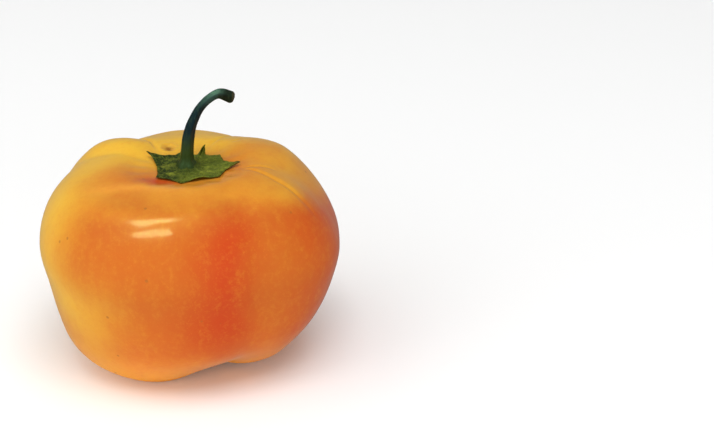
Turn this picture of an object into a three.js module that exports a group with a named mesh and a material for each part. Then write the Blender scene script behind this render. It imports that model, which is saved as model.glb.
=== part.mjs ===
// A squat, lobed chilli pepper with its green calyx and bent stem, standing on the ends of its lobes.
// Millimetres, +Z up. It rests on z = 0, with the origin below the middle of the whole pepper.

import * as THREE from 'three';
import { LoftGeometry } from 'three/addons/geometries/LoftGeometry.js';
import { mergeVertices } from 'three/addons/utils/BufferGeometryUtils.js';

const { degToRad, radToDeg, euclideanModulo, smoothstep } = THREE.MathUtils;

// ---- Driving dimensions ----

// Half-section along the crown of a lobe, as radius and height, from the seat of the stem
// over the shoulder and the widest part to the foot and the dimple of the blossom end.
const halfSection = new THREE.SplineCurve(
  [
    [0, 47.8], [5.5, 47.9], [11, 48.6], [16.5, 49.8], [22.2, 49.1],
    [27.8, 46.5], [33.1, 40.1], [35.3, 32.1], [33.8, 24], [31.3, 16],
    [27.5, 8.8], [22.6, 3], [15.5, -0.7], [8, 1], [0, 3.2],
  ].map(([radius, height]) => new THREE.Vector2(radius, height)),
);
const radiusPerStep = 5.5; // spacing of the section's first points, which the calyx follows

// Where the features sit along the half-section, as shares of its length, and how far each spreads.
const shoulder = { at: 0.3, spread: 0.13 };
const rim = { at: 0.27, spread: 0.1 };
const waist = { at: 0.52, spread: 0.15 };
const foot = { at: 0.85, spread: 0.12 };
const crater = { at: 0, spread: 0.2 };

// A lobe begins at the groove on its clockwise side, at that azimuth in degrees.
// topCut and footCut: depth of that groove at the shoulder and at the foot, as shares of the radius.
// rise and lift: how far the lobe's shoulder and foot stand up, in millimetres.
const lobes = [
  { groove: -3, topCut: 0.06, footCut: 0.12, rise: -0.2, lift: -0.1 },
  { groove: 67, topCut: 0.06, footCut: 0.12, rise: -1.5, lift: -0.2 },
  { groove: 124, topCut: 0.06, footCut: 0.12, rise: 0.3, lift: -0.3 },
  { groove: 164, topCut: 0.06, footCut: 0.13, rise: -1.3, lift: -0.2 },
  { groove: 300, topCut: 0.05, footCut: 0.24, rise: -0.6, lift: 2.1 },
];

// Broad swells and hollows of the flesh: where they are, how far they spread in degrees round the pod
// and along the half-section, and how many millimetres they push the skin out.
const swells = [
  { azimuth: 200, turnSpread: 32, at: 0.76, spread: 0.1, out: 2.9 },
  { azimuth: 185, turnSpread: 28, at: 0.52, spread: 0.11, out: -0.5 },
  { azimuth: 345, turnSpread: 34, at: 0.52, spread: 0.15, out: 2.1 },
  { azimuth: 10, turnSpread: 30, at: 0.4, spread: 0.1, out: -1.9 },
];
const grooveSoftness = 0.6; // 0 gives sharp creases between the lobes
const waistCutShare = 0.2; // how much of the grooves is left at mid-height
const topCutDrop = 20; // millimetres that a groove with a cut of 1 drops the shoulder
const footCutRise = 13; // millimetres that it raises the foot
const evenRadius = 12; // nearer the axis than this, the lobes fade into one smooth surface
const depthRatio = 0.96; // front to back against side to side
const seat = { x: 1, y: -2 }; // the stem sits a little off the pod's middle

// The calyx is a thin star, grown over the crater, with a raised collar round the stem.
const teeth = [
  { at: 38, reach: 8.6, tip: 0.2, curl: 0.1 },
  { at: 68, reach: 8.6, tip: 1, curl: 2.3 },
  { at: 106, reach: 8, tip: 0.2, curl: 0.1 },
  { at: 152, reach: 9.3, tip: 1.3, curl: 1.2 },
  { at: 232, reach: 9.8, tip: 0.2, curl: 0.1 },
  { at: 268, reach: 10.7, tip: 0.2, curl: 0 },
  { at: 317, reach: 10.9, tip: 0.2, curl: 0.2 },
  { at: 356, reach: 10.2, tip: 2.2, curl: 0.8 },
];
const edgeHollow = 0.04; // how far the edge draws in between two teeth, as a share of its radius
const tipSpread = 5; // degrees over which a tooth narrows to its tip
const curlSpread = 16; // degrees over which it lifts off the pod
const calyxGap = 0.35; // clearance over the pod's skin
const calyxEdge = 0.45; // thickness at the rim
const calyxMiddle = 0.9; // thickness at the collar
const collar = { height: 1, inner: 2.4, outer: 4.8, crown: 0.05 };

// The stem's centre line, from the seat of the calyx, and its radius along it.
const stemLine = new THREE.CatmullRomCurve3(
  [
    [-0.25, 0, 2.75], [-0.15, 0.1, 4.7], [0.3, 0.4, 8.1], [1.3, 0.7, 11.3],
    [2.9, 1.2, 14.2], [5, 1.7, 16.4], [7.4, 2.2, 17.5], [10, 2.6, 16.4],
  ].map((point) => new THREE.Vector3(...point)),
  false,
  'catmullrom',
);
const stemRadius = new THREE.SplineCurve(
  [
    [0, 1.9], [0.1, 1.5], [0.24, 1.38], [0.38, 1.14], [0.52, 1],
    [0.66, 0.96], [0.78, 0.98], [0.87, 1.18], [0.94, 1.36], [1, 1.15],
  ].map(([along, radius]) => new THREE.Vector2(along, radius)),
);
const ribs = { count: 5, depth: 0.05 };

// Fineness of the surfaces.
const podRing = 72;
const podRows = 44;
const calyxRing = 90;
const calyxRows = 7;
const stemRing = 16;
const stemRows = 30;
const weldDistance = 1e-3;

// ---- Helpers ----

// 1 at the feature's place along the half-section, fading to 0 on both sides of it.
function bell(along, { at, spread }) {
  return Math.exp(-(((along - at) / spread) ** 2));
}

// The turn from one azimuth to another in degrees, from -180 to 180.
function turnFrom(start, end) {
  return euclideanModulo(end - start + 180, 360) - 180;
}

// 1 at an azimuth, fading to 0 on both sides of it.
function turnBell(degrees, azimuth, spread) {
  return Math.exp(-((turnFrom(azimuth, degrees) / spread) ** 2));
}

// The entry of a ring of entries that an azimuth falls after, the next one, and how far between them.
function between(entries, azimuthOf, degrees) {
  for (const [index, entry] of entries.entries()) {
    const next = entries[(index + 1) % entries.length];
    const span = euclideanModulo(azimuthOf(next) - azimuthOf(entry), 360);
    const into = euclideanModulo(degrees - azimuthOf(entry), 360);
    if (into < span) return { entry, next, span, into, share: into / span };
  }
}

// The points of a closed ring, anticlockwise seen from above.
function ring(count, pointAt) {
  return Array.from({ length: count }, (_, index) => pointAt((index / count) * 2 * Math.PI));
}

// A closed skin through rings of points, of which the first and the last are drawn to one point.
function closedSkin(rings) {
  const loft = new LoftGeometry(rings);
  const bare = new THREE.BufferGeometry();
  bare.setIndex(loft.index);
  bare.setAttribute('position', loft.getAttribute('position'));
  const skin = mergeVertices(bare, weldDistance);
  const corners = skin.index.array;
  const kept = [];
  for (let first = 0; first < corners.length; first += 3) {
    const triangle = corners.slice(first, first + 3);
    if (new Set(triangle).size === 3) kept.push(...triangle);
  }
  skin.setIndex(kept);
  skin.computeVertexNormals();
  return skin;
}

// ---- Pod ----

// 1 on a lobe's crown and 0 in the grooves on both sides of it.
function crownAt(share) {
  const soften = (value) => Math.hypot(value, grooveSoftness);
  const arch = soften(Math.sin(share * Math.PI));
  return (arch - soften(0)) / (soften(1) - soften(0));
}

// How far the swells push the skin out, in millimetres.
function swellAt(degrees, along) {
  let out = 0;
  for (const swell of swells) {
    out += swell.out * bell(along, swell) * turnBell(degrees, swell.azimuth, swell.turnSpread);
  }
  return out;
}

// A point of the skin, at an azimuth and a share of the half-section's length.
function podPoint(azimuth, along) {
  const degrees = radToDeg(azimuth);
  const { entry: lobe, next, share } = between(lobes, (one) => one.groove, degrees);
  const groove = share < 0.5 ? lobe : next;
  const crown = crownAt(share);
  const valley = 1 - crown;
  const section = halfSection.getPoint(along);

  const cutAtTop = groove.topCut * bell(along, shoulder);
  const cutAtWaist = (groove.topCut + groove.footCut) * waistCutShare * bell(along, waist);
  const cutAtFoot = groove.footCut * bell(along, foot);
  const cut = valley * (cutAtTop + cutAtWaist + cutAtFoot);
  const radius = section.x * (1 - cut) + swellAt(degrees, along) * smoothstep(section.x, 0, evenRadius);

  const atShoulder = crown * lobe.rise * bell(along, rim) - valley * topCutDrop * cutAtTop;
  const atFoot = crown * lobe.lift * bell(along, foot) + valley * footCutRise * cutAtFoot;
  const height = section.y + (atShoulder + atFoot) * smoothstep(section.x, 0, evenRadius);

  const pull = bell(along, crater);
  return new THREE.Vector3(
    radius * Math.cos(azimuth) + seat.x * pull,
    radius * Math.sin(azimuth) * depthRatio + seat.y * pull,
    Math.max(height, 0), // the lobes that reach the ground are flat where they rest
  );
}

function makePod() {
  const rings = [];
  for (let row = podRows; row >= 0; row--) {
    rings.push(ring(podRing, (azimuth) => podPoint(azimuth, row / podRows)));
  }
  const skin = new THREE.MeshStandardMaterial({ color: 0xdc7a2c, roughness: 0.32, metalness: 0 });
  const mesh = new THREE.Mesh(closedSkin(rings), skin);
  mesh.name = 'pod';
  return mesh;
}

// ---- Calyx ----

// Radius of the calyx's edge: a straight run from tooth to tooth, drawn in, with pointed tips.
function edgeRadius(degrees) {
  const { entry, next, span, into, share } = between(teeth, (tooth) => tooth.at, degrees);
  const leaving = entry.reach * Math.sin(degToRad(into));
  const arriving = next.reach * Math.sin(degToRad(span - into));
  const straight = (entry.reach * next.reach * Math.sin(degToRad(span))) / (leaving + arriving);
  let radius = straight * (1 - edgeHollow * Math.sin(share * Math.PI));
  for (const tooth of teeth) {
    radius += tooth.tip * Math.exp(-Math.abs(turnFrom(tooth.at, degrees)) / tipSpread);
  }
  return radius;
}

// How far the calyx lifts off the pod, at a share of the way from the stem to the edge.
function curlAt(degrees, outward) {
  let lift = 0;
  for (const tooth of teeth) {
    lift += tooth.curl * turnBell(degrees, tooth.at, curlSpread);
  }
  return lift * outward ** 3;
}

// A point of the calyx: its lower face at depth 0, its upper face at depth 1.
function calyxPoint(azimuth, outward, depth) {
  const degrees = radToDeg(azimuth);
  const radius = outward * edgeRadius(degrees);
  const along = radius / radiusPerStep / (halfSection.points.length - 1);
  const fromStem = THREE.MathUtils.lerp(calyxMiddle, calyxEdge, outward);
  const raised = 1 - smoothstep(radius, collar.inner, collar.outer);
  const dome = collar.crown * (1 - radius / collar.inner);
  const thickness = fromStem + collar.height * raised + Math.max(dome, 0);
  const point = podPoint(azimuth, along);
  point.z += calyxGap + curlAt(degrees, outward) + depth * thickness;
  return point;
}

function makeCalyx() {
  const rings = [];
  for (let row = 0; row <= calyxRows; row++) {
    rings.push(ring(calyxRing, (azimuth) => calyxPoint(azimuth, row / calyxRows, 0)));
  }
  for (let row = calyxRows; row >= 0; row--) {
    rings.push(ring(calyxRing, (azimuth) => calyxPoint(azimuth, row / calyxRows, 1)));
  }
  const leaf = new THREE.MeshStandardMaterial({ color: 0x5c6428, roughness: 0.6, metalness: 0 });
  const mesh = new THREE.Mesh(closedSkin(rings), leaf);
  mesh.name = 'calyx';
  return mesh;
}

// ---- Stem ----

// A cross-section of the stem, softly ribbed and square to its centre line, or its middle at size 0.
function stemSection(row, frames, size) {
  const along = row / stemRows;
  const centre = stemLine.getPointAt(along);
  const radius = size * stemRadius.getPoint(along).y;
  return ring(stemRing, (turn) => {
    const reach = radius * (1 + ribs.depth * Math.cos(ribs.count * turn));
    return centre
      .clone()
      .addScaledVector(frames.normals[row], reach * Math.cos(turn))
      .addScaledVector(frames.binormals[row], reach * Math.sin(turn));
  });
}

function makeStem() {
  const frames = stemLine.computeFrenetFrames(stemRows, false);
  const rings = [stemSection(0, frames, 0)];
  for (let row = 0; row <= stemRows; row++) {
    rings.push(stemSection(row, frames, 1));
  }
  rings.push(stemSection(stemRows, frames, 0));
  const bark = new THREE.MeshStandardMaterial({ color: 0x1f3a2c, roughness: 0.5, metalness: 0 });
  const mesh = new THREE.Mesh(closedSkin(rings), bark);
  mesh.name = 'stem';
  mesh.position.copy(podPoint(0, 0));
  return mesh;
}

// ---- The whole pepper ----

const pepper = new THREE.Group();
pepper.add(makePod(), makeCalyx(), makeStem());

const bounds = new THREE.Box3().setFromObject(pepper, true);
const centre = bounds.getCenter(new THREE.Vector3());
pepper.position.set(-centre.x, -centre.y, -bounds.min.z);

const part = new THREE.Group();
part.add(pepper);

export default part;
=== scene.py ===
import math

import bpy
from mathutils import Matrix, Vector, noise


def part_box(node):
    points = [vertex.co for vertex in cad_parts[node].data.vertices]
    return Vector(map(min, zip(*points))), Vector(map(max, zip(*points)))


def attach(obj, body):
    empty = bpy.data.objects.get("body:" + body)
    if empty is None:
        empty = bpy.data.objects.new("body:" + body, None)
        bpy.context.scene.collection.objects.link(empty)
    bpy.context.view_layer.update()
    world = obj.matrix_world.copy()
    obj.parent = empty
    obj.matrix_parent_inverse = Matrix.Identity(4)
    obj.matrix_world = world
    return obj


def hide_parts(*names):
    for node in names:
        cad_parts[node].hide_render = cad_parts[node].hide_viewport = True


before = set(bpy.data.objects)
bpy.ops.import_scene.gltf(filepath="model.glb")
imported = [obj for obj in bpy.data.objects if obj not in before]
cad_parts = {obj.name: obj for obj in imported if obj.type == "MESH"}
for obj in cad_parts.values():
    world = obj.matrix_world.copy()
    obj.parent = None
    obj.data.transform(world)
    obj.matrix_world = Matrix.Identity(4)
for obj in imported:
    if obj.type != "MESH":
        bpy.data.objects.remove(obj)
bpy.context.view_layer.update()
metresPerMm = 0.001  # the shapes below are worked out in millimetres
print("frame loaded:", sorted(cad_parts))


# sums that the shapes share

def bell(value, centre, spread):  # 1 at the centre, fading to 0 on both sides
    return math.exp(-((value - centre) / spread) ** 2)


def turnFrom(start, end):  # the turn between two azimuths in degrees, from -180 to 180
    return (end - start + 180) % 360 - 180


def turnBell(degrees, azimuth, spread):
    return math.exp(-(turnFrom(azimuth, degrees) / spread) ** 2)


def smoothStep(value, low, high):
    share = min(max((value - low) / (high - low), 0), 1)
    return share * share * (3 - 2 * share)


def onCurve(points, share):  # a point of the smooth curve through evenly counted points
    steps = len(points) - 1
    index = min(int(share * steps), steps - 1)
    t = share * steps - index
    before, start, end, after = (Vector(points[min(max(index + k, 0), steps)]) for k in (-1, 0, 1, 2))
    leave, arrive = (end - before) / 2, (after - start) / 2
    cubic = 2 * start - 2 * end + leave + arrive
    square = 3 * end - 3 * start - 2 * leave - arrive
    return ((cubic * t + square) * t + leave) * t + start


def between(entries, key, degrees):  # the entry that an azimuth falls after, the next one, and how far on
    for index, entry in enumerate(entries):
        following = entries[(index + 1) % len(entries)]
        span = (following[key] - entry[key]) % 360
        into = (degrees - entry[key]) % 360
        if into < span:
            return entry, following, span, into


def roughly(point, size, seed=0):  # a smooth random value from -1 to 1, with lumps of about this size in mm
    return noise.noise(Vector(point) / size + Vector((seed * 7.3, seed * 3.1, seed * 5.7)))


def skinObject(name, rings, offset):  # a closed mesh through rings; the first and last are single points
    count = max(len(ring) for ring in rings)
    points, starts = [], []
    for ring in rings:
        starts.append(len(points))
        points += [(Vector(point) + offset) * metresPerMm for point in ring]
    faces = []
    for row in range(len(rings) - 1):
        low, high = starts[row], starts[row + 1]
        for i in range(count):
            j = (i + 1) % count
            if len(rings[row]) == 1:
                faces.append((low, high + j, high + i))
            elif len(rings[row + 1]) == 1:
                faces.append((low + i, low + j, high))
            else:
                faces.append((low + i, low + j, high + j, high + i))
    mesh = bpy.data.meshes.new(name)
    mesh.from_pydata(points, [], faces)
    mesh.shade_smooth()
    mesh.update()
    made = bpy.data.objects.new(name, mesh)
    bpy.context.scene.collection.objects.link(made)
    return made


def ringOf(count, pointAt):
    return [pointAt(360 * i / count) for i in range(count)]


# lengths are in millimetres, angles in degrees, and azimuth 0 is the right
pod = {
    "section": [  # radius and height down the crown of a lobe, from the stem's seat to the blossom end
        (0, 47.8), (5.5, 47.9), (11, 48.6), (16.5, 49.8), (22.2, 49.1),
        (27.8, 46.5), (33.1, 40.1), (35.3, 32.1), (33.8, 24), (31.3, 16),
        (27.5, 8.8), (22.6, 3), (15.5, -0.7), (8, 1), (0, 3.2),
    ],
    "radiusPerStep": 5.5,
    # each lobe begins at a groove; the cuts are shares of the radius, rise and lift are millimetres
    "lobes": [
        {"groove": -3, "topCut": 0.06, "footCut": 0.12, "rise": -0.2, "lift": -0.1},
        {"groove": 67, "topCut": 0.06, "footCut": 0.12, "rise": -1.5, "lift": -0.2},
        {"groove": 124, "topCut": 0.06, "footCut": 0.12, "rise": 0.3, "lift": -0.3},
        {"groove": 164, "topCut": 0.06, "footCut": 0.13, "rise": -1.3, "lift": -0.2},
        {"groove": 300, "topCut": 0.05, "footCut": 0.24, "rise": -0.6, "lift": 2.1},
    ],
    "swells": [  # broad swells and hollows of the flesh
        {"azimuth": 200, "turnSpread": 32, "at": 0.76, "spread": 0.1, "out": 2.9},
        {"azimuth": 185, "turnSpread": 28, "at": 0.52, "spread": 0.11, "out": -0.5},
        {"azimuth": 345, "turnSpread": 34, "at": 0.52, "spread": 0.15, "out": 2.1},
        {"azimuth": 10, "turnSpread": 30, "at": 0.4, "spread": 0.1, "out": -1.9},
    ],
    "shoulder": (0.3, 0.13), "rim": (0.27, 0.1), "waist": (0.52, 0.15), "foot": (0.85, 0.12),
    "grooveSoftness": 0.6,
    "waistCutShare": 0.2,
    "topCutDrop": 20,
    "footCutRise": 13,
    "evenRadius": 12,
    "depthRatio": 0.96,
    "seat": (1, -2), "seatSpread": 0.2,
    "around": 360,
    "rows": 220,
}


def crownAt(share):  # 1 on a lobe's crown, 0 in its grooves
    soft = pod["grooveSoftness"]
    return (math.hypot(math.sin(share * math.pi), soft) - soft) / (math.hypot(1, soft) - soft)


def podPoint(degrees, along):
    lobe, following, span, into = between(pod["lobes"], "groove", degrees)
    groove = lobe if into < span / 2 else following
    crown = crownAt(into / span)
    valley = 1 - crown
    radius, height = onCurve(pod["section"], along)
    even = smoothStep(radius, 0, pod["evenRadius"])
    cutAtTop = groove["topCut"] * bell(along, *pod["shoulder"])
    cutAtWaist = (groove["topCut"] + groove["footCut"]) * pod["waistCutShare"] * bell(along, *pod["waist"])
    cutAtFoot = groove["footCut"] * bell(along, *pod["foot"])
    swell = sum(
        one["out"] * bell(along, one["at"], one["spread"])
        * turnBell(degrees, one["azimuth"], one["turnSpread"])
        for one in pod["swells"]
    )
    radius = radius * (1 - valley * (cutAtTop + cutAtWaist + cutAtFoot)) + swell * even
    atShoulder = crown * lobe["rise"] * bell(along, *pod["rim"]) - valley * pod["topCutDrop"] * cutAtTop
    atFoot = crown * lobe["lift"] * bell(along, *pod["foot"]) + valley * pod["footCutRise"] * cutAtFoot
    height += (atShoulder + atFoot) * even
    pull = bell(along, 0, pod["seatSpread"])
    turn = math.radians(degrees)
    return Vector((
        radius * math.cos(turn) + pod["seat"][0] * pull,
        radius * math.sin(turn) * pod["depthRatio"] + pod["seat"][1] * pull,
        max(height, 0),
    ))


# fine relief on the skin, in millimetres
podRelief = {
    "waves": 0.12, "waveSize": 12,
    "ripples": 0.03, "rippleSize": 3.2,
    "folds": 0.07, "foldCount": 17, "foldRadius": 11.5, "foldSpread": 2.6,
    "foldWander": 18, "foldWanderSize": 9,
    # a crease follows azimuths evenly spaced between two places down the section
    "creases": [
        {"azimuths": [-16, -18, -22, -24, -24], "from": 0.16, "to": 0.43, "shadeRight": 0.5, "wide": 0.6},
        {"azimuths": [-12, -9, -6, -7], "from": 0.16, "to": 0.3, "shadeRight": 0.25, "wide": 0.5},
        {"azimuths": [130, 125, 125, 124], "from": 0.15, "to": 0.38, "shadeRight": 0.6, "wide": 0.6},
        {"azimuths": [70, 67, 66, 68], "from": 0.15, "to": 0.36, "shadeRight": 0.36, "wide": 0.6},
        {"azimuths": [52, 50, 53, 55], "from": 0.2, "to": 0.3, "shadeRight": 0.25, "wide": 0.5},
        {"azimuths": [298, 301, 300, 303], "from": 0.66, "to": 0.9, "shadeRight": 0.25, "wide": 1.2},
    ],
    "scar": {
        "azimuth": 116, "along": 0.155, "size": 1.3, "shadeRight": 0.4,
        "rimHigh": 0.5, "rimAt": 1.4, "rimWide": 0.5,  # shares of the depth and of the size
    },
    "navel": {"size": 2.2, "shadeRight": 0.5},
}


def creaseDepth(degrees, along, radius):
    depth = 0
    for crease in podRelief["creases"]:
        start, end = crease["from"], crease["to"]
        share = (along - start) / (end - start)
        if not 0 < share < 1:
            continue
        azimuth = onCurve([(value,) * 2 for value in crease["azimuths"]], share)[0]
        off = math.radians(turnFrom(azimuth, degrees)) * radius
        if abs(off) < 4 * crease["wide"]:
            depth += crease["shadeRight"] * bell(off, 0, crease["wide"]) * math.sin(share * math.pi)
    return depth


def podReliefAt(degrees, along, point, scarPlace):
    relief = podRelief
    radius = math.hypot(point.x - pod["seat"][0], point.y - pod["seat"][1])
    height = relief["waves"] * roughly(point, relief["waveSize"], 1)
    height += relief["ripples"] * roughly(point, relief["rippleSize"], 2)
    if along < 0.5:
        wander = relief["foldWander"] * roughly(point, relief["foldWanderSize"], 3)
        fold = math.cos(math.radians(relief["foldCount"] * degrees + wander))
        height += relief["folds"] * fold * bell(radius, relief["foldRadius"], relief["foldSpread"])
    height -= creaseDepth(degrees, along, radius)
    scar = relief["scar"]
    off = (point - scarPlace).length / scar["size"]
    height -= scar["shadeRight"] * (bell(off, 0, 1) - scar["rimHigh"] * bell(off, scar["rimAt"], scar["rimWide"]))
    if along > 0.5:
        navel = relief["navel"]
        height -= navel["shadeRight"] * bell(math.hypot(point.x, point.y), 0, navel["size"])
    return height


def makePod():
    rows = pod["rows"]
    skinRings = [
        [podPoint(0, row / rows)] if row in (0, rows) else
        ringOf(pod["around"], lambda degrees: podPoint(degrees, row / rows))
        for row in range(rows, -1, -1)
    ]
    low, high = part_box("pod")
    corners = [point for ring in skinRings for point in ring]
    offset = Vector((
        (low.x + high.x) / 2 / metresPerMm - (min(p.x for p in corners) + max(p.x for p in corners)) / 2,
        (low.y + high.y) / 2 / metresPerMm - (min(p.y for p in corners) + max(p.y for p in corners)) / 2,
        low.z / metresPerMm - min(p.z for p in corners),
    ))
    made = skinObject("pod_skin", skinRings, offset)
    scar = podRelief["scar"]
    scarPlace = podPoint(scar["azimuth"], scar["along"])
    index = 0
    places = []
    normals = [vertex.normal.copy() for vertex in made.data.vertices]
    for ring, row in zip(skinRings, range(rows, -1, -1)):
        for i, point in enumerate(ring):
            height = podReliefAt(360 * i / len(ring), row / rows, point, scarPlace)
            place = made.data.vertices[index].co + normals[index] * height * metresPerMm
            place.z = max(place.z, low.z)  # the feet stay flat on what the pepper stands on
            places.append(place)
            index += 1
    for vertex, place in zip(made.data.vertices, places):
        vertex.co = place
    made.data.update()
    return made, offset, scarPlace


podSkin, offset, scarPlace = makePod()
print("pod skin:", len(podSkin.data.vertices), "vertices, offset", tuple(round(v, 2) for v in offset))


calyx = {
    # azimuth, reach of the leaf, length of the pointed tip and half its width in degrees, how far it
    # curls up in degrees, how wide a piece of the edge curls with it, and how far its point leans aside
    "teeth": [
        {"at": 38, "reach": 8.7, "tip": 0.5, "point": 4.5, "curl": 10, "spread": 14, "lean": 0},
        {"at": 70, "reach": 8, "tip": 4, "point": 2, "curl": 165, "spread": 4, "lean": -1.1},
        {"at": 106, "reach": 7.9, "tip": 0.4, "point": 4.5, "curl": 8, "spread": 12, "lean": 0},
        {"at": 152, "reach": 9.2, "tip": 2, "point": 4, "curl": 36, "spread": 11, "lean": 0.3},
        {"at": 232, "reach": 9.8, "tip": 0.4, "point": 5, "curl": 5, "spread": 14, "lean": 0},
        {"at": 268, "reach": 10.6, "tip": 0.4, "point": 6, "curl": 2, "spread": 14, "lean": 0},
        {"at": 317, "reach": 10.8, "tip": 0.4, "point": 6, "curl": 6, "spread": 14, "lean": 0},
        {"at": 356, "reach": 10.2, "tip": 2.7, "point": 4.5, "curl": 18, "spread": 11, "lean": 0.2},
    ],
    "arches": [  # where the edge between two teeth stands off the pod
        {"at": 294, "spread": 13, "lift": 0.7},
        {"at": 250, "spread": 9, "lift": 0.3},
        {"at": 195, "spread": 20, "lift": 0.5},
        {"at": 20, "spread": 12, "lift": 0.5},
        {"at": 128, "spread": 12, "lift": 0.4},
    ],
    "edgeHollow": 0.04,
    "curlStart": 0.62,  # share of the way out at which a tooth leaves the pod
    "gap": 0.05,
    "edgeThickness": 0.3, "middleThickness": 0.7,
    "edgeThinning": 0.75, "edgeThinFrom": 0.97,  # the edge is thin and rounded
    "collarHeight": 0.9, "collarInner": 1.5, "collarOuter": 4.4,
    "ragged": 0.022, "raggedSize": 0.9,
    "veinHeight": 0.2, "veinWidth": 0.34,
    "wrinkles": 0.3, "wrinkleSize": 1.2, "wrinkleShare": (0.15, 0.5),  # shares of the way out
    "edgeWave": 0.14, "edgeWaveSize": 2.6,
    "around": 480, "rows": 44, "underRows": 12,
}


def calyxEdge(degrees):
    tooth, following, span, into = between(calyx["teeth"], "at", degrees)
    leaving = tooth["reach"] * math.sin(math.radians(into))
    arriving = following["reach"] * math.sin(math.radians(span - into))
    straight = tooth["reach"] * following["reach"] * math.sin(math.radians(span)) / (leaving + arriving)
    radius = straight * (1 - calyx["edgeHollow"] * math.sin(into / span * math.pi))
    for one in calyx["teeth"]:
        radius += one["tip"] * math.exp(-abs(turnFrom(one["at"], degrees)) / one["point"])
    turn = math.radians(degrees)
    onEdge = (math.cos(turn) * radius, math.sin(turn) * radius, 0)
    return radius * (1 + calyx["ragged"] * roughly(onEdge, calyx["raggedSize"], 4))


def calyxCurl(degrees):  # in radians
    return math.radians(sum(
        tooth["curl"] * turnBell(degrees, tooth["at"], tooth["spread"]) for tooth in calyx["teeth"]
    ))


def calyxLean(degrees):
    return sum(tooth["lean"] * turnBell(degrees, tooth["at"], tooth["spread"]) for tooth in calyx["teeth"])


def calyxRelief(degrees, radius, outward):
    turn = math.radians(degrees)
    flat = (radius * math.cos(turn), radius * math.sin(turn), 0)
    wrinkled = smoothStep(outward, *calyx["wrinkleShare"])
    height = calyx["wrinkles"] * roughly(flat, calyx["wrinkleSize"], 5) * wrinkled
    for tooth in calyx["teeth"]:
        off = math.radians(turnFrom(tooth["at"], degrees)) * radius
        if abs(off) < 2:
            height += calyx["veinHeight"] * bell(off, 0, calyx["veinWidth"])
    return height


def calyxPoint(degrees, outward, upper):
    edge = calyxEdge(degrees)
    length = outward * edge
    curl = calyxCurl(degrees)
    start = calyx["curlStart"] * edge
    bend = curl * max(length - start, 0) / (edge - start)
    curve = curl / (edge - start)
    radius = min(length, start) + math.sin(bend) / curve
    lifted = (1 - math.cos(bend)) / curve
    point = podPoint(degrees, min(radius / pod["radiusPerStep"] / (len(pod["section"]) - 1), 1))
    turn = math.radians(degrees)
    outwards = Vector((math.cos(turn), math.sin(turn), 0))
    faceNormal = Vector((0, 0, 1)) * math.cos(bend) - outwards * math.sin(bend)
    arch = sum(one["lift"] * turnBell(degrees, one["at"], one["spread"]) for one in calyx["arches"])
    wave = calyx["edgeWave"] * (1 + 2 * roughly(outwards * edge, calyx["edgeWaveSize"], 6))
    point.z += calyx["gap"] + lifted + (arch + wave) * outward ** 4
    past = max(length - start, 0) / (edge - start)
    point += Vector((-outwards.y, outwards.x, 0)) * calyxLean(degrees) * past ** 2
    if upper:
        raised = 1 - smoothStep(length, calyx["collarInner"], calyx["collarOuter"])
        thickness = calyx["middleThickness"] + (calyx["edgeThickness"] - calyx["middleThickness"]) * outward
        thickness += calyx["collarHeight"] * raised ** 1.5 + calyxRelief(degrees, length, outward)
        thickness *= 1 - calyx["edgeThinning"] * smoothStep(outward, calyx["edgeThinFrom"], 1)
        point += faceNormal * thickness
    return point


def makeCalyx():
    around, rows, underRows = calyx["around"], calyx["rows"], calyx["underRows"]
    rings = [[calyxPoint(0, 0, False)]]
    for row in range(1, underRows + 1):
        rings.append(ringOf(around, lambda degrees: calyxPoint(degrees, row / underRows, False)))
    for row in range(rows, 0, -1):
        rings.append(ringOf(around, lambda degrees: calyxPoint(degrees, row / rows, True)))
    rings.append([calyxPoint(0, 0, True)])
    return skinObject("calyx_leaf", rings, offset)


calyxLeaf = makeCalyx()
print("calyx leaf:", len(calyxLeaf.data.vertices), "vertices")


stem = {
    "line": [  # from the calyx's seat
        (-0.3, 0, 0.9), (-0.25, 0, 2.8), (-0.15, 0.1, 4.7), (0.3, 0.4, 8.1), (1.3, 0.7, 11.3),
        (2.9, 1.2, 14.2), (5, 1.7, 16.4), (7.4, 2.2, 17.5), (9.9, 2.6, 16.5),
    ],
    "radii": [2.4, 1.62, 1.45, 1.4, 1.36, 1.27, 1.14, 1.04, 0.98, 0.95, 0.95, 1, 1.24, 1.34],
    "ribs": 5, "ribDepth": 0.065, "ribTwist": 50,
    "grain": 0.05, "grainSize": 0.5, "grainStretch": 9,
    "lumps": 0.05, "lumpSize": 2.6,
    "endDish": 0.12, "endDishRim": (0.35, 0.6), "endRound": 0.95, "endUneven": 0.06, "endUnevenSize": 0.7,
    "lineSteps": 800, "around": 72, "rows": 190, "endRows": 12,
}


def stemStations(rows):  # evenly spaced points of the centre line with their directions
    steps = stem["lineSteps"]
    fine = [onCurve(stem["line"], i / steps) for i in range(steps + 1)]
    lengths = [0]
    for one, other in zip(fine, fine[1:]):
        lengths.append(lengths[-1] + (other - one).length)
    stations, index = [], 0
    for row in range(rows + 1):
        wanted = lengths[-1] * row / rows
        while index < len(fine) - 2 and lengths[index + 1] < wanted:
            index += 1
        share = (wanted - lengths[index]) / (lengths[index + 1] - lengths[index])
        here, ahead = fine[index], fine[index + 1]
        stations.append((here.lerp(ahead, share), (ahead - here).normalized()))
    return stations, lengths[-1]


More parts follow.
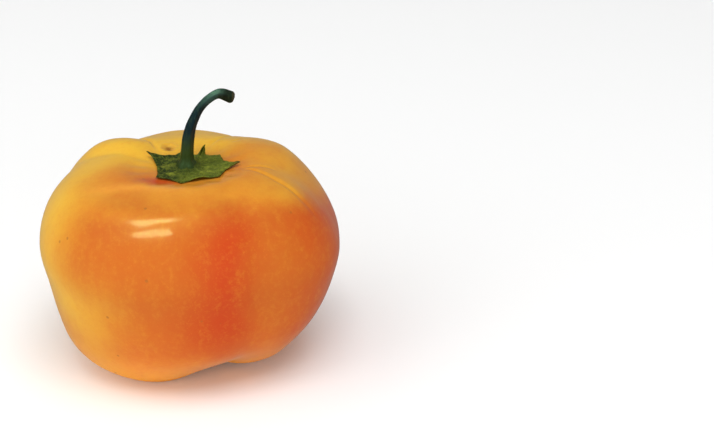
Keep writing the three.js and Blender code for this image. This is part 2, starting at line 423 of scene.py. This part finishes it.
def makeStem():
    rows, around = stem["rows"], stem["around"]
    stations, length = stemStations(rows)
    seat = podPoint(0, 0)
    side = Vector((0, 1, 0))
    rings = [[seat + stations[0][0]]]
    for row, (place, heading) in enumerate(stations):
        side = (side - heading * side.dot(heading)).normalized()
        across = heading.cross(side)
        share = row / rows
        base = onCurve([(value,) * 2 for value in stem["radii"]], share)[0]

        def onSkin(degrees):
            turn = math.radians(degrees)
            ribTurn = math.radians(stem["ribs"] * (degrees + stem["ribTwist"] * share))
            rib = stem["ribDepth"] * math.cos(ribTurn)
            around3d = (math.cos(turn) * base, math.sin(turn) * base, share * length)
            grainAt = (around3d[0], around3d[1], around3d[2] / stem["grainStretch"])
            radius = base * (1 + rib) + stem["grain"] * roughly(grainAt, stem["grainSize"], 7)
            radius += stem["lumps"] * roughly(around3d, stem["lumpSize"], 8)
            return seat + place + (side * math.cos(turn) + across * math.sin(turn)) * radius

        rings.append(ringOf(around, onSkin))
    rings += stemEnd(rings[-1], seat + stations[-1][0], stations[-1][1])
    return skinObject("stem_stalk", rings, offset)


def stemEnd(lastRing, centre, heading):  # a rounded knob with a shallow scar in its end
    rings = []
    endRows, unevenness, unevenSize = stem["endRows"], stem["endUneven"], stem["endUnevenSize"]
    for row in range(1, endRows):
        turn = row / endRows * math.pi / 2
        inward = 1 - math.cos(turn)
        rise = stem["endRound"] * math.sin(turn) - stem["endDish"] * smoothStep(inward, *stem["endDishRim"])
        rings.append([
            point.lerp(centre, inward)
            + heading * (rise + unevenness * roughly(point, unevenSize, 9) * inward)
            for point in lastRing
        ])
    rings.append([centre + heading * (stem["endRound"] - stem["endDish"])])
    return rings


stemStalk = makeStem()
print("stem:", len(stemStalk.data.vertices), "vertices")


class Wire:
    # a socket in a node tree: Python's operators on it add Math nodes, and node() adds any other node
    def __init__(self, tree, socket=None):
        self.tree, self.socket = tree, socket

    def node(self, kind, settings=None, sockets=None, output=0):
        made = self.tree.nodes.new("ShaderNode" + kind)
        for name, value in (settings or {}).items():
            setattr(made, name, value)
        for name, value in (sockets or {}).items():
            if isinstance(value, Wire):
                self.tree.links.new(value.socket, made.inputs[name])
            else:
                made.inputs[name].default_value = value
        return Wire(self.tree, made.outputs[output]) if made.outputs else made

    def maths(self, operation, *values):
        return self.node("Math", {"operation": operation}, dict(enumerate(values)))

    def __add__(self, other):
        return self.maths("ADD", self, other)

    __radd__ = __add__

    def __sub__(self, other):
        return self.maths("SUBTRACT", self, other)

    def __rsub__(self, other):
        return self.maths("SUBTRACT", other, self)

    def __mul__(self, other):
        return self.maths("MULTIPLY", self, other)

    __rmul__ = __mul__

    def __truediv__(self, other):
        return self.maths("DIVIDE", self, other)

    def __rtruediv__(self, other):
        return self.maths("DIVIDE", other, self)

    def __neg__(self):
        return self.maths("MULTIPLY", self, -1)


def startMaterial(name):
    material = bpy.data.materials.new(name)
    material.use_nodes = True
    material.node_tree.nodes.clear()
    return material, Wire(material.node_tree)


def finishMaterial(paint, fixed, wired):  # fixed numbers go on the shader's own sockets
    shader = paint.node("BsdfPrincipled", {}, {**fixed, **wired})
    paint.node("OutputMaterial", {}, {"Surface": shader})


def placeInMm(paint):  # the place on the object, and its x, y and z
    place = paint.node("TexCoord", output=3)
    scaled = paint.node("VectorMath", {"operation": "SCALE"}, {0: place, "Scale": 1 / metresPerMm})
    parts = [paint.node("SeparateXYZ", {}, {0: scaled}, output=k) for k in range(3)]
    return scaled, parts


def stretched(paint, place, scale):
    return paint.node("Mapping", {}, {"Vector": place, "Scale": scale})


def distanceTo(paint, place, point):
    return paint.node("VectorMath", {"operation": "DISTANCE"}, {0: place, 1: tuple(point)}, output=1)


def cloud(paint, place, size, detail=2.0, roughness=0.5):  # soft noise about 0, from about -0.5 to 0.5
    made = paint.node("TexNoise", {}, {
        "Vector": place, "Scale": 1 / size, "Detail": detail, "Roughness": roughness})
    return made - 0.5


def smooth(paint, value, low, high):  # 0 to 1 between two values, easing at both ends
    return paint.node("MapRange", {"interpolation_type": "SMOOTHSTEP"}, {
        "Value": value, "From Min": low, "From Max": high})


def hump(paint, value, centre, spread):  # 1 at the centre, fading to 0
    off = (value - centre) / spread
    return paint.maths("EXPONENT", -(off * off))


def clamped(paint, value):
    return paint.node("Clamp", {}, {"Value": value})


def cellsOf(paint, place, feature, perMm):  # a pattern of cells, this many across a millimetre
    return paint.node("TexVoronoi", {"feature": feature}, {"Vector": place, "Scale": perMm})


def mixed(paint, mask, one, other):
    return paint.node("Mix", {"data_type": "RGBA"}, {0: mask, 6: one, 7: other}, output=2)


def bumped(paint, height, strength, distance):
    return paint.node("Bump", {}, {"Height": height, "Strength": strength, "Distance": distance})


def colour(red, green, blue):
    return (red, green, blue, 1)


podPaint = {
    "colours": {
        "orange": colour(0.5, 0.122, 0.015),
        # brighter orange low down: partly paler flesh, partly painted light bounced up from the floor
        "glow": colour(0.64, 0.155, 0.018),
        # painted shade and a painted reflection of orange on the right side
        "shadedOrange": colour(0.53, 0.075, 0.01),
        "red": colour(0.5, 0.045, 0.01),
        "yellow": colour(0.74, 0.42, 0.036),
        "ochre": colour(0.66, 0.265, 0.024),
        # paler flesh and painted light: the low glow from the floor, and the painted highlight on the front
        # crest
        "paleLit": colour(0.86, 0.36, 0.045),
        "scar": colour(0.2, 0.07, 0.016),
        "scarRim": colour(0.5, 0.24, 0.04),
        "speck": colour(0.3, 0.1, 0.02),
        "dot": colour(0.78, 0.3, 0.02),
    },
    # how strong each patch of colour is, from 0 to 1
    "shares": {
        "glow": 0.8, "shadedOrange": 0.85, "behind": 0.8, "warm": 0.45, "shoulders": 0.9, "rightHump": 0.55,
        "low": 0.85, "blush": 0.85, "spill": 0.45, "flushAndShade": 0.35, "cornerShade": 0.85, "crestHighlight": 0.6,
        "dots": 0.1, "specks": 0.6, "scarRim": 0.6, "scarCore": 0.9, "navel": 0.9,
    },
    # where each patch begins and where it is full, in millimetres of height, width or distance
    "reaches": {
        "glow": (8, 30), "sunnyTilt": (12, 36), "sunnyHeight": (14, 34), "high": (8, 36),
        "shoulders": (43.5, 50), "rear": (-2, 12), "rearHeight": (30, 46),
        "rightHump": (13, 25), "rightHumpHeight": (36.5, 44), "low": (0, 16),
        "blushHeight": (6, 22), "blushEnd": (40, 49), "flushAndShade": (1, 10), "cornerShade": (0.5, 4.5),
        "scarRim": (0.9, 2.4), "scarCore": (0.2, 1.2), "navel": (0.8, 2.2), "dull": (1, 9),
        "dots": (0.08, 0.28), "specks": (0.03, 0.055),  # shares of the pattern's own cells
    },
    # patches that fade to both sides: the middle and the spread, in millimetres
    "bands": {
        "warmHeight": (24.5, 8), "blush": (11.2, 6.3), "spill": (4, 7), "spillHeight": (23, 9),
        # the crest is the painted highlight along the front shoulder
        "crestHighlight": (-15.5, 1.8), "crestHighlightSide": (-8, 11),
    },
    # how far a patch faces its side before it begins, and when it is full, from -1 to 1
    "sides": {
        # the right side's painted shade, and the left's yellow that is partly painted light
        "shadedOrange": (0.62, 0.98), "sunny": (0.34, 0.72), "warm": (0.15, 0.65),
        "behind": (0.1, 0.75), "facing": (0.2, 0.6),
    },
    # the red and painted shade by the calyx: its middle from the pod's axis, and how far it is drawn out
    # sideways
    "beside": {"place": (-12, -8.5, 48.5), "squeeze": 0.7},
    "underCorner": {"place": (-4.5, -10.2, 48.5), "squeeze": 0.6},
    # size in millimetres, detail and roughness of each noise
    "clouds": {
        "drift": (13, 3, 0.55), "fine": (1.1, 4, 0.75), "streak": (2.2, 2, 0.5), "scarEdge": (0.9, 3, 0.6),
        "navelEdge": (0.8, 2, 0.5), "wax": (5, 3, 0.6), "pebble": (0.9, 2, 0.5), "wave": (2.4, 2, 0.5),
        "cork": (0.5, 2, 0.6),
    },
    "streakSquash": 0.25, "dotsPerMm": 1.25, "specksPerMm": 0.12, "navelHeight": 3,
    "roughness": 0.34, "coat": 0.26, "bump": 0.2, "bumpDepth": 0.0002,
    "fixed": {
        "IOR": 1.45,
        "Specular IOR Level": 0.12,
        "Specular Tint": (1, 0.75, 0.4, 1),
        "Subsurface Weight": 0.1,
        "Subsurface Radius": (1.0, 0.32, 0.1),
        "Subsurface Scale": 0.003,
        "Coat Roughness": 0.13,
        "Coat IOR": 1.4,
    },
}


def flushDistance(paint, place, patch):
    across, back, height = patch["place"]
    squeeze = patch["squeeze"]
    middle = (squeeze * (offset.x + across), offset.y + back, height)
    return distanceTo(paint, stretched(paint, place, (squeeze, 1, 1)), middle)


def waxySkin():
    material, paint = startMaterial("waxy_skin")
    place, (x, y, z) = placeInMm(paint)
    look = podPaint
    c, share, reaches, bands = look["colours"], look["shares"], look["reaches"], look["bands"]
    sides, clouds = look["sides"], look["clouds"]
    x, y = x - offset.x, y - offset.y  # from the pod's own axis
    reach = paint.maths("SQRT", x * x + y * y) + 0.01
    right, front = x / reach, -y / reach
    drift = cloud(paint, place, *clouds["drift"])
    fine = cloud(paint, place, *clouds["fine"])
    streak = cloud(paint, stretched(paint, place, (1, 1, look["streakSquash"])), *clouds["streak"])

    # orange flesh, brighter towards the foot: partly paler flesh, partly painted light bounced up from the
    # floor
    glow = 1 - smooth(paint, z + 6 * drift, *reaches["glow"])
    base = mixed(paint, share["glow"] * glow, c["orange"], c["glow"])
    # painted shade and a painted reflection of orange on the right; yellow on the left, partly the pepper's
    # own yellow and partly painted light; a mix of the two behind
    shadeRight = smooth(paint, right + 0.35 * drift, *sides["shadedOrange"])
    base = mixed(paint, share["shadedOrange"] * shadeRight, base, c["shadedOrange"])
    tilt = 0.26 * smooth(paint, z, *reaches["sunnyTilt"])
    sunny = smooth(paint, 0.15 * drift - right - tilt, *sides["sunny"])
    sunny = sunny * (0.42 + 0.58 * smooth(paint, z, *reaches["sunnyHeight"]))
    # more yellow on the left at mid-height, partly painted light
    warm = smooth(paint, 0.2 * drift - right, *sides["warm"]) * hump(paint, z, *bands["warmHeight"])
    behind = smooth(paint, 0.9 * drift - front, *sides["behind"])
    high = smooth(paint, z + 14 * drift, *reaches["high"])
    base = mixed(paint, share["behind"] * behind * (0.3 + 0.7 * high), base, c["ochre"])
    base = mixed(paint, share["warm"] * warm, base, c["yellow"])
    base = mixed(paint, sunny, base, c["yellow"])
    # yellow shoulders, brightest at the back: partly the pepper's own yellow, partly painted light on its
    # top
    shoulders = smooth(paint, z + 8 * drift, *reaches["shoulders"])
    base = mixed(paint, share["shoulders"] * shoulders, base, c["ochre"])
    rear = smooth(paint, y - 0.45 * x + 8 * drift, *reaches["rear"])
    rear = rear * smooth(paint, z + 10 * drift, *reaches["rearHeight"])
    base = mixed(paint, rear, base, c["yellow"])
    rightHump = smooth(paint, x + 4 * drift, *reaches["rightHump"])
    rightHump = rightHump * smooth(paint, z + 0.35 * y + 6 * drift, *reaches["rightHumpHeight"])
    base = mixed(paint, share["rightHump"] * rightHump, base, c["yellow"])
    # a paler glow low down: partly paler flesh, partly painted light bounced up from the floor
    low = 1 - smooth(paint, z + 7 * drift, *reaches["low"])
    base = mixed(paint, share["low"] * low, base, c["paleLit"])
    # the red blush down the front groove
    facing = smooth(paint, front, *sides["facing"])
    blush = hump(paint, x + 6 * drift, *bands["blush"])
    blush = blush * smooth(paint, z + 9 * drift, *reaches["blushHeight"])
    blush = blush * (1 - smooth(paint, z + 6 * drift, *reaches["blushEnd"])) * facing
    base = mixed(paint, share["blush"] * blush, base, c["red"])
    spill = hump(paint, x + 5 * drift, *bands["spill"]) * hump(paint, z + 5 * drift, *bands["spillHeight"])
    base = mixed(paint, share["spill"] * (spill * facing), base, c["red"])
    # red and painted shade beside the calyx, strongest under its corner
    beside = flushDistance(paint, place, look["beside"])
    flushAndShade = 1 - smooth(paint, beside + 7 * drift, *reaches["flushAndShade"])
    base = mixed(paint, share["flushAndShade"] * flushAndShade, base, c["red"])
    under = flushDistance(paint, place, look["underCorner"])
    cornerShade = 1 - smooth(paint, under + 3 * drift, *reaches["cornerShade"])
    base = mixed(paint, share["cornerShade"] * cornerShade, base, c["red"])
    # a painted highlight: a pale crest along the front shoulder
    crestHighlight = hump(paint, y + 0.12 * x + 2 * drift, *bands["crestHighlight"])
    crestHighlight = crestHighlight * hump(paint, x + 4 * drift, *bands["crestHighlightSide"])
    base = mixed(paint, share["crestHighlight"] * crestHighlight * shoulders, base, c["paleLit"])
    # mottling under the wax
    base = mixed(paint, clamped(paint, 0.55 * fine + 0.3 * streak), base, c["red"])
    base = mixed(paint, clamped(paint, -0.5 * fine - 0.25 * streak), base, c["yellow"])
    dots = 1 - smooth(paint, cellsOf(paint, place, "F1", look["dotsPerMm"]), *reaches["dots"])
    base = mixed(paint, share["dots"] * dots, base, c["dot"])
    # a few brown specks
    specks = 1 - smooth(paint, cellsOf(paint, place, "F1", look["specksPerMm"]), *reaches["specks"])
    base = mixed(paint, share["specks"] * specks, base, c["speck"])
    # the corky scar behind the calyx
    scarOff = distanceTo(paint, place, scarPlace + offset)
    ragged = scarOff + 1.4 * cloud(paint, place, *clouds["scarEdge"])
    scarRim = 1 - smooth(paint, ragged, *reaches["scarRim"])
    scarCore = 1 - smooth(paint, ragged, *reaches["scarCore"])
    base = mixed(paint, share["scarRim"] * scarRim, base, c["scarRim"])
    base = mixed(paint, share["scarCore"] * scarCore, base, c["scar"])
    # the blossom end's small scar
    navelOff = distanceTo(paint, place, (offset.x, offset.y, offset.z + look["navelHeight"]))
    navelEdge = navelOff + 1.5 * cloud(paint, place, *clouds["navelEdge"])
    navel = 1 - smooth(paint, navelEdge, *reaches["navel"])
    base = mixed(paint, share["navel"] * navel, base, c["scar"])

    wax = cloud(paint, place, *clouds["wax"])
    dull = 1 - smooth(paint, z + 3 * wax, *reaches["dull"])  # the wax is rubbed off where it stands
    roughness = look["roughness"] + 0.1 * wax + 0.35 * scarCore + 0.35 * navel + 0.06 * dots + 0.4 * dull
    coat = look["coat"] + 0.2 * wax - 0.3 * scarCore - 0.3 * dull
    relief = 0.6 * cloud(paint, place, *clouds["pebble"]) + 0.5 * cloud(paint, place, *clouds["wave"])
    relief = relief - 0.25 * dots + 1.5 * scarRim * cloud(paint, place, *clouds["cork"])
    finishMaterial(paint, look["fixed"], {
        "Base Color": base,
        "Roughness": clamped(paint, roughness),
        "Coat Weight": clamped(paint, coat),
        "Normal": bumped(paint, relief, look["bump"], look["bumpDepth"]),
    })
    return material


calyxPaint = {
    "colours": {
        "green": colour(0.088, 0.11, 0.01),
        "dark": colour(0.018, 0.028, 0.004),
        "lime": colour(0.27, 0.29, 0.03),
        "vein": colour(0.2, 0.23, 0.035),
        "brown": colour(0.07, 0.035, 0.01),
    },
    # size in millimetres, detail and roughness of each noise
    "clouds": {"blotch": (3.4, 3, 0.6), "fine": (0.7, 3, 0.65)},
    # where each patch begins and where it is full, in millimetres
    "reaches": {
        # painted shade towards the stem, and brown tips that are partly dry and partly painted shade
        "stemShade": (2, 5), "dryAndShaded": (9.4, 11.6), "curledHeight": (3.1, 4.8), "curled": (5.5, 7),
        "shade": (-0.3, 0.9), "veins": (0.02, 0.12),  # these two have no unit
    },
    # how strong each patch is, from 0 to 1
    "shares": {"veins": 0.3, "stemShade": 0.65, "dryAndShaded": 0.8, "curled": 0.75},
    "cellsPerMm": 0.85,
    "roughness": 0.66, "bump": 0.5, "bumpDepth": 0.0003,
    "fixed": {
        "Specular IOR Level": 0.1,
        "Subsurface Weight": 0.06,
        "Subsurface Radius": (0.4, 0.8, 0.15),
        "Subsurface Scale": 0.001,
    },
}


def leafyGreen():
    material, paint = startMaterial("leafy_green")
    place, (x, y, z) = placeInMm(paint)
    seat = podPoint(0, 0) + offset
    look = calyxPaint
    c, share, reaches, clouds = look["colours"], look["shares"], look["reaches"], look["clouds"]
    dx, dy = x - seat.x, y - seat.y
    radius = paint.maths("SQRT", dx * dx + dy * dy)
    blotch = cloud(paint, place, *clouds["blotch"])
    fine = cloud(paint, place, *clouds["fine"])
    shade = smooth(paint, 1.2 * blotch - 0.16 * dx, *reaches["shade"])
    base = mixed(paint, clamped(paint, shade + 2 * blotch + fine), c["green"], c["dark"])
    base = mixed(paint, clamped(paint, 1.7 * fine - 2.6 * blotch), base, c["lime"])
    # the raised net of veins
    net = cellsOf(paint, place, "DISTANCE_TO_EDGE", look["cellsPerMm"])
    veins = 1 - smooth(paint, net, *reaches["veins"])
    base = mixed(paint, veins * share["veins"], base, c["vein"])
    # painted shade, darker towards the stem; brown at the tips and edge, partly dry and partly painted
    # shade where the tips curl up
    stemShade = 1 - smooth(paint, radius + 3 * blotch, *reaches["stemShade"])
    base = mixed(paint, clamped(paint, share["stemShade"] * stemShade), base, c["dark"])
    dryAndShaded = smooth(paint, radius + 2.5 * fine, *reaches["dryAndShaded"])
    curled = smooth(paint, z - seat.z + 1.5 * fine, *reaches["curledHeight"])
    curled = curled * smooth(paint, radius, *reaches["curled"])
    base = mixed(paint, clamped(paint, share["dryAndShaded"] * dryAndShaded + share["curled"] * curled), base, c["brown"])
    roughness = clamped(paint, look["roughness"] + 0.25 * fine + 0.1 * veins)
    relief = 0.7 * fine + 0.5 * veins + 0.4 * blotch
    finishMaterial(paint, look["fixed"], {
        "Base Color": base,
        "Roughness": roughness,
        "Normal": bumped(paint, relief, look["bump"], look["bumpDepth"]),
    })
    return material


stemPaint = {
    "colours": {
        "base": colour(0.022, 0.039, 0.004),
        "middle": colour(0.002, 0.01, 0.013),
        # a painted sheen: the light reflected near the top of the stalk
        "topSheen": colour(0.034, 0.074, 0.055),
        "knob": colour(0.004, 0.007, 0.001),
        "cut": colour(0.06, 0.045, 0.015),
        "streak": colour(0.035, 0.06, 0.018),
    },
    # size in millimetres, detail and roughness of each noise
    "clouds": {"mottle": (1.6, 3, 0.6), "grain": (0.35, 2, 0.6)},
    "grainSquash": 0.18,
    # where each colour begins and where it is full, in millimetres above the seat or from the tip
    "reaches": {"middle": (4.5, 10), "topSheen": (14.5, 18), "knob": (1.8, 4), "cut": (0.3, 0.6)},
    "cutShare": 0.6,
    "roughness": 0.42, "bump": 0.45, "bumpDepth": 0.0002,
    "fixed": {
        "Specular IOR Level": 0.28,
        "Specular Tint": (0.6, 0.8, 1, 1),
    },
}


def darkStalk():
    material, paint = startMaterial("dark_stalk")
    place, (x, y, z) = placeInMm(paint)
    seat = podPoint(0, 0) + offset
    tip = seat + Vector(stem["line"][-1])
    look = stemPaint
    c, reaches, clouds = look["colours"], look["reaches"], look["clouds"]
    mottle = cloud(paint, place, *clouds["mottle"])
    grain = cloud(paint, stretched(paint, place, (1, 1, look["grainSquash"])), *clouds["grain"])
    up = z - seat.z + 3 * mottle
    base = mixed(paint, smooth(paint, up, *reaches["middle"]), c["base"], c["middle"])
    # painted sheen near the top of the stalk
    base = mixed(paint, smooth(paint, up, *reaches["topSheen"]), base, c["topSheen"])
    knob = 1 - smooth(paint, distanceTo(paint, place, tip) + 2 * mottle, *reaches["knob"])
    base = mixed(paint, knob, base, c["knob"])
    base = mixed(paint, clamped(paint, 1.3 * grain + 0.4 * mottle), base, c["streak"])
    cut = smooth(paint, x - tip.x + 0.4 * mottle, *reaches["cut"])
    base = mixed(paint, look["cutShare"] * cut, base, c["cut"])
    roughness = clamped(paint, look["roughness"] + 0.25 * grain + 0.2 * mottle)
    finishMaterial(paint, look["fixed"], {
        "Base Color": base,
        "Roughness": roughness,
        "Normal": bumped(paint, grain + 0.6 * mottle, look["bump"], look["bumpDepth"]),
    })
    return material


def dress(piece, node, material):
    piece.data.materials.append(material)
    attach(piece, "root")
    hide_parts(node)


dress(podSkin, "pod", waxySkin())
dress(calyxLeaf, "calyx", leafyGreen())
dress(stemStalk, "stem", darkStalk())
print("materials done")


studio = {
    "floorSize": 6,
    "floorColour": colour(0.96, 0.96, 0.96),
    "floorRoughness": 0.9,
    "floorShine": 0.1,
    "worldStrength": 0.32,
    "boxColour": (1, 1, 1),
    "tubeColour": (0.62, 1, 0.45),
    # where a light stands, seen from the pepper: azimuth and elevation of its two ends; metres and watts
    "lights": [
        {"name": "side_box", "ends": ((-95, 45), (-35, 45)), "distance": 2, "width": 1.6,
         "power": 9.5, "mirrored": False},
        {"name": "top_box", "ends": ((-20, 62), (60, 62)), "distance": 2, "width": 1.2,
         "power": 21.5, "mirrored": False},
        {"name": "front_box", "ends": ((-75, 8), (45, 8)), "distance": 2, "width": 0.6,
         "power": 12, "mirrored": False},
        {"name": "rear_tube", "ends": ((-59, 63), (-25, 86)), "distance": 0.8, "width": 0.15,
         "power": 5.8, "mirrored": True},
        {"name": "front_tube", "ends": ((-42, 51), (-6, 62)), "distance": 0.8, "width": 0.1,
         "power": 4.2, "mirrored": True},
    ],
}

camera = {  # lens and sensor in millimetres, the rest in metres
    "azimuth": 0, "elevation": 25, "lens": 85, "sensor": 36,
    "distance": 0.3946, "aside": 0.0393, "above": 0.0073,
    "targetHeight": 25.1,  # millimetres above the pod's foot
}


def direction(azimuth, elevation):  # from the pepper towards a place round it; azimuth 0 is the front
    a, e = math.radians(azimuth), math.radians(elevation)
    return Vector((math.sin(a) * math.cos(e), -math.cos(a) * math.cos(e), math.sin(e)))


def makeFloor():
    half = studio["floorSize"] / 2
    mesh = bpy.data.meshes.new("floor")
    corners = [(-half, -half, 0), (half, -half, 0), (half, half, 0), (-half, half, 0)]
    mesh.from_pydata(corners, [], [(0, 1, 2, 3)])
    floor = bpy.data.objects.new("floor", mesh)
    bpy.context.scene.collection.objects.link(floor)
    material, paint = startMaterial("pale_floor")
    finishMaterial(paint, {
        "Base Color": studio["floorColour"],
        "Roughness": studio["floorRoughness"],
        "Specular IOR Level": studio["floorShine"],
    }, {})
    mesh.materials.append(material)
    floor.visible_glossy = False  # the pale floor is left out of the wax's reflections


def makeLights(target):
    for setting in studio["lights"]:
        one, other = (direction(*end) * setting["distance"] for end in setting["ends"])
        light = bpy.data.lights.new(setting["name"], "AREA")
        light.shape = "RECTANGLE"
        light.size, light.size_y = (other - one).length, setting["width"]
        light.energy = setting["power"]
        light.color = studio["tubeColour"] if setting["mirrored"] else studio["boxColour"]
        lamp = bpy.data.objects.new(setting["name"], light)
        bpy.context.scene.collection.objects.link(lamp)
        away = (one + other).normalized()
        along = (other - one).normalized()
        across = away.cross(along)
        lamp.matrix_world = Matrix.Translation(target + (one + other) / 2) @ Matrix(
            (along, across, away)).transposed().to_4x4()
        # the boxes light the pepper, and only the tubes show in its wax
        lamp.visible_glossy = setting["mirrored"]
        lamp.visible_diffuse = not setting["mirrored"]
    world = bpy.data.worlds.new("studio")
    world.use_nodes = True
    background = world.node_tree.nodes["Background"]
    background.inputs["Color"].default_value = colour(1, 1, 1)
    background.inputs["Strength"].default_value = studio["worldStrength"]
    bpy.context.scene.world = world


def makeCamera(target):
    data = bpy.data.cameras.new("camera")
    data.lens = camera["lens"]
    data.sensor_width = camera["sensor"]
    made = bpy.data.objects.new("camera", data)
    bpy.context.scene.collection.objects.link(made)
    back = direction(camera["azimuth"], camera["elevation"])
    right = Vector((0, 0, 1)).cross(back).normalized()
    up = back.cross(right)
    made.rotation_euler = (-back).to_track_quat("-Z", "Y").to_euler()
    made.location = target + back * camera["distance"] + right * camera["aside"] + up * camera["above"]
    bpy.context.scene.camera = made


middle = (Vector((0, 0, camera["targetHeight"])) + offset) * metresPerMm
makeFloor()
makeLights(middle)
makeCamera(middle)
bpy.context.scene.view_settings.view_transform = "Standard"
print("studio done")
